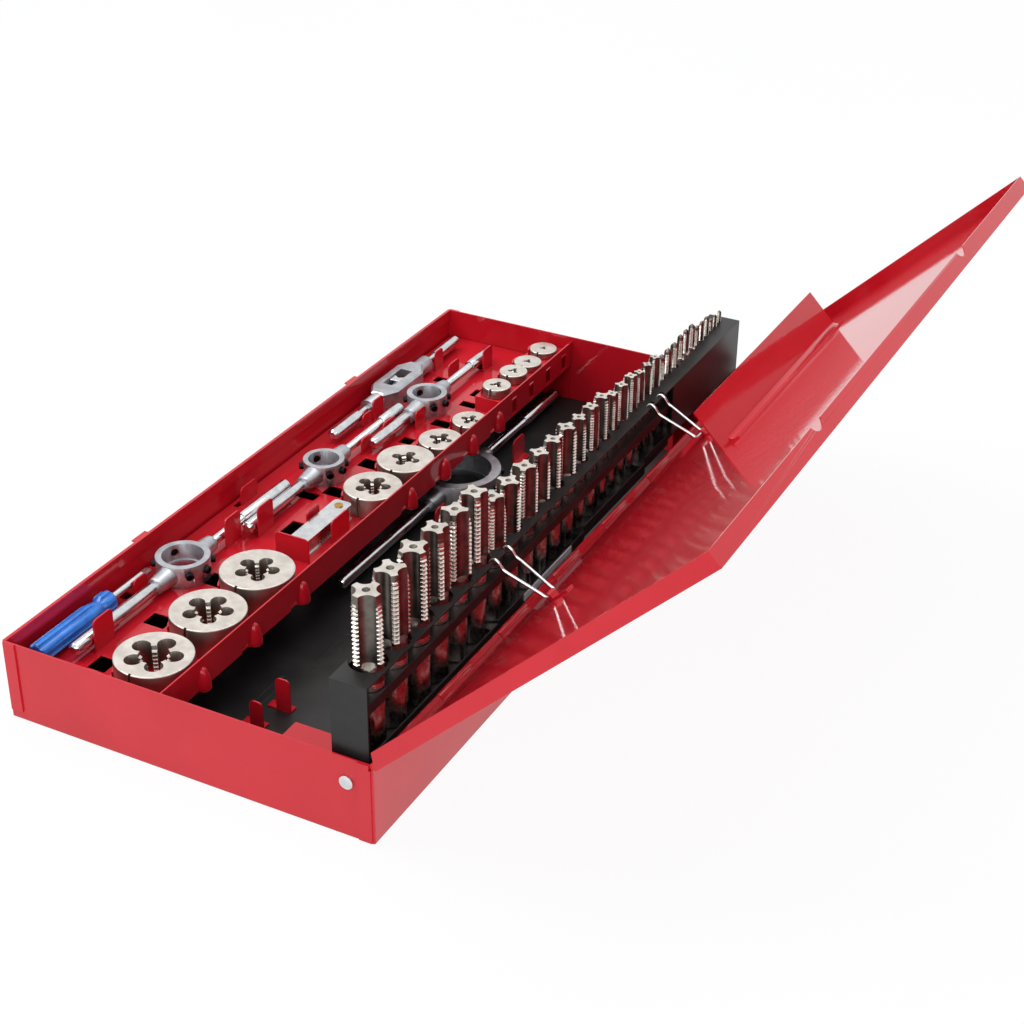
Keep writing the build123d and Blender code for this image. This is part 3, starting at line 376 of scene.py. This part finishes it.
def tap_rings(size, lead, turn, centre, foot):
    """Rings of one tap, from its square up to its cutting end."""
    diameter, pitch, thread, length, shank, flutes = size
    radius, depth = diameter / 2, thread_depth * pitch
    away, cutter = flute_away * diameter, flute_radius * diameter
    edge = acos((radius ** 2 + away ** 2 - cutter ** 2) / (2 * radius * away))
    angles = tap_angles(flutes, edge)
    off = (angles + pi / flutes) % (2 * pi / flutes) - pi / flutes
    inside = np.clip(cutter ** 2 - (away * np.sin(off)) ** 2, 0, None)
    flute = np.where(np.abs(off) < asin(cutter / away),
                     away * np.cos(off) - np.sqrt(inside), diameter)
    flats = shank * square_share / 2
    facing = (angles - pi / 4 if flutes == 4 else angles) % (pi / 2)
    square = flats / np.maximum(np.abs(np.cos(facing)), np.abs(np.sin(facing)))
    begin = length - thread
    square_end = 2 * flats + square_extra
    lead_length = lead * pitch
    tip_radius = max(radius - depth * tip_loss, radius * tip_least)
    pointed = diameter < pointed_below
    point = radius * point_share if pointed else 0.0
    per_pitch = 8 if diameter > 11 else 6 if diameter > 7 else 5
    fade = begin - diameter * run_out
    heights = [0.0, min(1.0, shank * 0.15), square_end - square_blend, square_end, fade]
    heights += [fade + diameter * 0.1 * k for k in range(1, 6)]
    steps = int(round((thread - point) / pitch * per_pitch))
    heights += [begin + (thread - point) * k / steps for k in range(steps + 1)]
    rows = []
    for z in heights:
        if z < begin:
            body = np.full_like(angles, shank / 2)
            body = np.minimum(body, flute + (begin - z) * run_out_slope)
            if z <= square_end:
                body = np.minimum(body, square + max(0.0, z - square_end + square_blend))
            if z == 0.0:
                body = body * 0.86
        else:
            phase = (z / pitch - angles / (2 * pi)) % 1.0
            tooth = np.clip(1.3 * np.abs(2 * phase - 1) - 0.15, 0, 1)
            body = radius - depth * (1 - tooth)
            lead_in = max(0.0, z - (length - point - lead_length)) / lead_length
            body = np.minimum(body, radius - (radius - tip_radius) * lead_in)
            body = np.minimum(body, flute)
        rows.append((z, body))
    top, last = rows[-1]
    if pointed:
        rows.append((top + point * 0.5, np.minimum(last, radius * 0.42)))
        rows.append((length, last * 0 + radius * 0.05))
    else:
        drilled = diameter * centre_hole
        rows.append((length, np.full_like(angles, drilled)))
        rows.append((length - drilled, np.full_like(angles, drilled * 0.15)))
    turned = angles + turn
    x, y = centre
    return [[((x + r * cos(a)) * MM, (y + r * sin(a)) * MM, (foot + z) * MM)
             for r, a in zip(body, turned)] for z, body in rows]


def paint_shade_in_hollows(piece, axes, limit, above):
    """Gives the second finish, a darker steel that paints shade and dark reflection, to the faces
    above the shank that are nearer to a tap's axis than limit: its flutes and the roots of its
    threads."""
    for face in piece.data.polygons:
        centre = face.center / MM
        near = min(hypot(centre.x - x, centre.y - y) for x, y in axes)
        upright = abs(face.normal.z) < 0.8
        face.material_index = int(near < limit and upright and centre.z > above)


def make_taps():
    """Every hand tap with real threads, three to a size, in the places of the plain ones."""
    for name, size in tap_sizes.items():
        low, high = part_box("taps_" + name)
        diameter, pitch, thread, length, shank = size[:5]
        widest = max(diameter, shank) / 2
        x = (low.x + high.x) / 2 / MM
        first, last = low.y / MM + widest, high.y / MM - widest
        solid = Solid()
        axes = [(x, first + (last - first) * i / 2) for i in range(3)]
        for i in range(3):
            turn = pi / 4 + tap_turns[i] + diameter * 0.21
            solid.rings(tap_rings(size, lead_threads[i], turn, axes[i], low.z / MM))
        # The second finish paints shade and dark reflection into the flutes and thread roots.
        piece = new_piece("tap_set_" + name, solid, (TOOL_STEEL, FLUTE_SHADE_STEEL), "stand", 28)
        hollow = min(diameter / 2 - 0.45 * pitch, diameter * 0.44)
        shank_end = low.z / MM + length - thread - run_out * diameter
        paint_shade_in_hollows(piece, axes, hollow, shank_end)
        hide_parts("taps_" + name)


# ---- dies ---------------------------------------------------------------------------------

# Bore, number of chip holes, pitch, in millimetres
die_forms = {
    "m20": (17.5, 5, 2.5), "m18": (15.5, 5, 2.5), "m16": (14.0, 5, 2.0), "m14": (12.0, 5, 2.0),
    "m12": (10.2, 4, 1.75), "m10": (8.5, 4, 1.5), "m8": (6.8, 4, 1.25), "m6": (5.0, 3, 1.0),
    "m5": (4.2, 3, 0.9), "m4": (3.3, 3, 0.8), "m3": (2.6, 3, 0.7),
}
# Shares of the bore: a chip hole's radius, and how far its middle lies outside the bore,
# as a share of that radius.
chip_hole_radius, chip_hole_reach = 0.30, 0.55
# Share of the land that the teeth cover, and their depth as a share of the pitch.
tooth_cover, tooth_depth = 0.92, 0.55


def make_die_threads():
    """Cutting teeth on the lands between the chip holes of each die."""
    for name, (bore, holes, pitch) in die_forms.items():
        low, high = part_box("die_" + name)
        x = (low.x + high.x) / 2 / MM
        y = (high.y - (high.x - low.x) / 2) / MM
        thickness = (high.z - low.z) / MM
        hole = bore * chip_hole_radius
        away = bore / 2 + hole * chip_hole_reach
        edge = acos(min(1, ((bore / 2) ** 2 + away ** 2 - hole ** 2) / (bore * away)))
        outer, inner = bore / 2 + 0.15, bore / 2 - tooth_depth * pitch
        profile = ((outer, -pitch * 0.47), (inner, -pitch * 0.07),
                   (inner, pitch * 0.07), (outer, pitch * 0.47))
        solid = Solid()
        land = 2 * pi / holes - 2 * edge
        for i in range(holes):
            middle = pi / 2 + 2 * pi * (i + 0.5) / holes
            angles = [middle + land * tooth_cover * (k / 4 - 0.5) for k in range(5)]
            count = int((thickness - 1.0) / pitch)
            for t in range(count):
                rings = []
                for a in angles:
                    climb = pitch * (a / (2 * pi) % 1 - 0.5) * 0.8
                    z = low.z / MM + 0.5 + pitch * (t + 0.5) + climb
                    rings.append([((x + r * cos(a)) * MM, (y + r * sin(a)) * MM, (z + h) * MM)
                                  for r, h in profile])
                solid.rings(rings)
        piece = new_piece("die_teeth_" + name, solid, (TOOL_STEEL,), "case", 25)


# ---- set screws ---------------------------------------------------------------------------

# Where the screws stand round a ring, in degrees.
screw_angles = (-42, 0, 42, 150, 210)
# From the screw's inner end to the floor of its socket: distance from the ring's outside, and
# the radius at the socket's corners and flats, in millimetres.
screw_profile = ((-3.0, 2.45, 2.45), (2.2, 2.45, 2.45), (2.6, 2.05, 2.05), (2.6, 1.45, 1.25),
                 (1.2, 1.35, 1.17))
screw_points = 24
screw_rise = 0.12   # of the ring's height, above its middle


def make_set_screws():
    """Black socket set screws: a chamfered rim round a hexagon socket."""
    solid = Solid()
    for ring in ("25mm", "20mm_deep", "20mm_flat", "45mm"):
        low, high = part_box("stock_ring_" + ring)
        x, y, z = (low + high) / 2 / MM
        height = (high.z - low.z) / MM
        outer = (high.x - low.x) / 2 / MM
        for angle in screw_angles:
            out = Vector((cos(radians(angle)), sin(radians(angle)), 0))
            side = Vector((-out.y, out.x, 0))
            up = Vector((0, 0, 1))
            base = Vector((x, y, z + height * screw_rise))
            rows = []
            for away, corner, flat in screw_profile:
                row = []
                for k in range(screw_points):
                    a = 2 * pi * k / screw_points
                    r = corner if k % 4 == 0 else flat + (corner - flat) * abs(k % 4 - 2) / 2
                    point = base + out * (outer + away) + (side * cos(a) + up * sin(a)) * r
                    row.append(tuple(point * MM))
                rows.append(row)
            solid.rings(rows)
    piece = new_piece("set_screws", solid, (BLACK_OXIDE,), "case")
    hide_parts("stock_set_screws")


# ---- wire links ---------------------------------------------------------------------------

# The hook's bends, from the middle of the stand's front strip, and the legs' half spans
hook_bends = ((-2.4, -0.3), (-1.9, 1.7), (0.1, 2.75), (2.2, 1.9), (3.9, 0.1))
hook_half_span, clip_half_span = 7.75, 5.0
wire_radius, strip_half = 0.9, 0.5
# Points of a leg: from the strip's middle, back from the clip, and in under the clip.
leg_start, leg_end, clip_turn = (6.0, 9.0), (4.5, 1.2), (0.6, 2.2)


def make_wire_links():
    """Spring-wire hairpins, curled into a hook at each end, as smooth bent wire."""
    for name in ("near", "far"):
        low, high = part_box("wire_link_" + name)
        middle = (low.y + high.y) / 2 / MM
        pivot = (high.x / MM - wire_radius, low.z / MM + wire_radius)
        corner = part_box("stand_frame")[1] / MM
        strip = (corner.x - strip_half, corner.z - strip_half)
        reach = hypot(pivot[0] - strip[0], pivot[1] - strip[1])
        lean = ((pivot[0] - strip[0]) / reach, (pivot[1] - strip[1]) / reach)
        route = []
        for side in (-1, 1):
            y_hook, y_clip = middle + side * hook_half_span, middle + side * clip_half_span
            leg = [(strip[0] + x, y_hook, strip[1] + z) for x, z in hook_bends]
            leg += [(strip[0] + lean[0] * d, y_hook, strip[1] + lean[1] * d) for d in leg_start]
            leg += [(pivot[0] - lean[0] * d, y_clip, pivot[1] - lean[1] * d) for d in leg_end]
            leg += [(pivot[0], y_clip - side * d, pivot[1]) for d in clip_turn]
            route += leg if side < 0 else leg[::-1]
        curve = bpy.data.curves.new("link_wire_" + name, "CURVE")
        curve.dimensions = "3D"
        curve.bevel_depth = wire_radius * MM
        curve.bevel_resolution = 4
        curve.use_fill_caps = True
        curve.resolution_u = 6
        spline = curve.splines.new("NURBS")
        spline.points.add(len(route) - 1)
        for point, place in zip(spline.points, route):
            point.co = (*[c * MM for c in place], 1)
        spline.order_u = 3
        spline.use_endpoint_u = True
        thing = bpy.data.objects.new("link_wire_" + name, curve)
        bpy.context.scene.collection.objects.link(thing)
        curve.materials.append(PLATED_WIRE)
        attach(thing, "link_" + name)
        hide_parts("wire_link_" + name)


# ---- pressed forms in the sheet -----------------------------------------------------------

# Places of the lugs along the tray's wall, from the near end of the case, and the wall itself
lug_places = (41.0, 91.0, 141.0, 268.0, 312.0, 350.5, 388.5)
case_length = 504.415
tray_wall_face, tray_wall_foot = -14.5, 29.0
# Height above the wall's foot and half width of a lug's rib, from its lower end up
rib_profile = ((-2.6, 1.2), (-2.0, 2.6), (-1.0, 3.8), (0.0, 4.55), (2.5, 4.45), (5.5, 4.1),
               (8.5, 3.5), (11.0, 2.7), (12.6, 1.7), (13.4, 0.3))
# Middle across and along the case, and length, of the long pressings in the floor sheet
floor_pressings = ((7.0, -115.0, 40.0), (-3.0, -165.0, 30.0))
pressing_width = 5.0
# Radius of a pressing's raised edge, and the share of it that lies below the sheet's top.
pressing_bead, pressing_sunk = 0.3, 0.4


def make_wall_ribs():
    """The ribs pressed out above the lugs of the tray's wall, fading out upwards."""
    around = [pi * k / 10 - pi / 2 for k in range(11)]
    solid = Solid()
    for place in lug_places:
        y = place - case_length / 2
        rows = []
        for height, half in rib_profile:
            rows.append([((tray_wall_face + half * cos(a)) * MM, (y + half * sin(a)) * MM,
                          (tray_wall_foot + height) * MM) for a in around])
        solid.rings(rows)
    piece = new_piece("tray_wall_ribs", solid, (RED,), "case", 50)


def make_floor_pressings():
    """Faint long pressings that stiffen the black floor sheet."""
    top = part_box("floor_sheet")[1].z / MM
    curve = bpy.data.curves.new("floor_pressings", "CURVE")
    curve.dimensions = "3D"
    curve.bevel_depth = pressing_bead * MM
    curve.bevel_resolution = 2
    for x, y, length in floor_pressings:
        radius, straight = pressing_width / 2, (length - pressing_width) / 2
        outline = []
        for end in (1, -1):
            for k in range(9):
                a = pi * k / 8
                outline.append((x + end * radius * cos(a), y + end * (straight + radius * sin(a))))
        spline = curve.splines.new("POLY")
        spline.points.add(len(outline) - 1)
        for point, (across, along) in zip(spline.points, outline):
            point.co = (across * MM, along * MM, (top - pressing_bead * pressing_sunk) * MM, 1)
        spline.use_cyclic_u = True
    thing = bpy.data.objects.new("floor_pressings", curve)
    bpy.context.scene.collection.objects.link(thing)
    curve.materials.append(BLACK)
    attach(thing, "case")


# ---- stage --------------------------------------------------------------------------------

# Share of plain white in the floor as it is seen; the rest is the floor's own lit paint, which
# keeps the case's shadow.
floor_white = 0.93
floor_half = 4.0
# What the lamps point at, in metres.
lamp_target = Vector((0, 0, 0.05))


def seen_plainly(tree):
    """1 where the camera looks, straight or through a reflection, and 0 for the light's bounces."""
    path = put(tree, "ShaderNodeLightPath")
    direct = put(tree, "ShaderNodeMath", {"operation": "MAXIMUM"},
                 {0: path.outputs["Is Camera Ray"], 1: path.outputs["Is Transmission Ray"]})
    mirrored = put(tree, "ShaderNodeMath", {"operation": "MAXIMUM"},
                   {0: direct.outputs["Value"], 1: path.outputs["Is Glossy Ray"]})
    return mirrored.outputs["Value"]


def make_stage():
    """A pale floor that shows white to the camera and to reflections, and keeps the shadow."""
    mesh = bpy.data.meshes.new("floor")
    corners = ((-1, -1), (1, -1), (1, 1), (-1, 1))
    mesh.from_pydata([(x * floor_half, y * floor_half, 0) for x, y in corners], [],
                     [(0, 1, 2, 3)])
    floor = bpy.data.objects.new("floor", mesh)
    bpy.context.scene.collection.objects.link(floor)
    material, tree, shader, place = new_material("painted_studio_floor", lit=False)
    mottle = put(tree, "ShaderNodeTexNoise", None, {"Vector": place, "Scale": 3.0})
    tint = ramp_between(tree, mottle.outputs["Fac"], 0.3, 0.7, "#ececee", "#f2f2f2")
    tree.links.new(tint, shader.inputs["Base Color"])
    shader.inputs["Roughness"].default_value = 0.9
    share = put(tree, "ShaderNodeMath", {"operation": "MULTIPLY"},
                {0: seen_plainly(tree), 1: floor_white})
    white = put(tree, "ShaderNodeEmission", None, {"Color": (1, 1, 1, 1), "Strength": 1.0})
    both = put(tree, "ShaderNodeMixShader", None,
               {"Fac": share.outputs["Value"], 1: shader.outputs[0], 2: white.outputs[0]})
    put(tree, "ShaderNodeOutputMaterial", None, {"Surface": both.outputs[0]})
    mesh.materials.append(material)


def make_world():
    """Even light from all round, and plain white wherever it is seen or mirrored."""
    world = bpy.data.worlds.new("studio")
    bpy.context.scene.world = world
    world.use_nodes = True
    tree = world.node_tree
    tree.nodes.clear()
    light = put(tree, "ShaderNodeBackground", None, {"Color": linear("#f4f6f8"), "Strength": 0.62})
    white = put(tree, "ShaderNodeBackground", None, {"Color": (1, 1, 1, 1), "Strength": 1.0})
    both = put(tree, "ShaderNodeMixShader", None,
               {"Fac": seen_plainly(tree), 1: light.outputs[0], 2: white.outputs[0]})
    put(tree, "ShaderNodeOutputWorld", None, {"Surface": both.outputs[0]})


def area_lamp(name, place, size, power):
    """A rectangular soft light that points at the case.  Place and size are in metres."""
    data = bpy.data.lights.new(name, "AREA")
    data.shape = "RECTANGLE"
    data.size, data.size_y = size
    data.energy = power
    lamp = bpy.data.objects.new(name, data)
    bpy.context.scene.collection.objects.link(lamp)
    lamp.location = place
    lamp.rotation_euler = (lamp_target - Vector(place)).to_track_quat("-Z", "Y").to_euler()


def make_lamps():
    """A wide key from the left and above, fills from the near and hinge sides, and one above."""
    area_lamp("key", (-1.2, -0.5, 1.9), (1.4, 1.4), 28)
    area_lamp("fill", (0.6, -1.9, 0.9), (1.4, 0.9), 12)
    area_lamp("side", (1.9, -0.7, 0.35), (1.2, 0.6), 9)
    area_lamp("top", (0.2, 0.6, 2.2), (1.2, 1.2), 14)


def make_camera():
    """The photograph's viewing angle."""
    data = bpy.data.cameras.new("camera")
    data.lens, data.sensor_width = 67.13, 36.0
    data.clip_start, data.clip_end = 0.05, 20
    camera = bpy.data.objects.new("camera", data)
    bpy.context.scene.collection.objects.link(camera)
    camera.location = (0.52533, -0.89803, 0.64139)
    turn, rise, roll = radians(27.084), radians(30.188), radians(0.672)
    back = Vector((sin(turn) * cos(rise), -cos(turn) * cos(rise), sin(rise)))
    side = Vector((0, 0, 1)).cross(back).normalized()
    up = back.cross(side)
    right = cos(roll) * side + sin(roll) * up
    above = -sin(roll) * side + cos(roll) * up
    camera.rotation_mode = "QUATERNION"
    camera.rotation_quaternion = Matrix((right, above, back)).transposed().to_quaternion()
    bpy.context.scene.camera = camera


dress_nodes()
make_taps()
make_die_threads()
make_set_screws()
make_wire_links()
make_wall_ribs()
make_floor_pressings()
make_stage()
make_world()
make_lamps()
make_camera()
bpy.context.scene.view_settings.view_transform = "Standard"
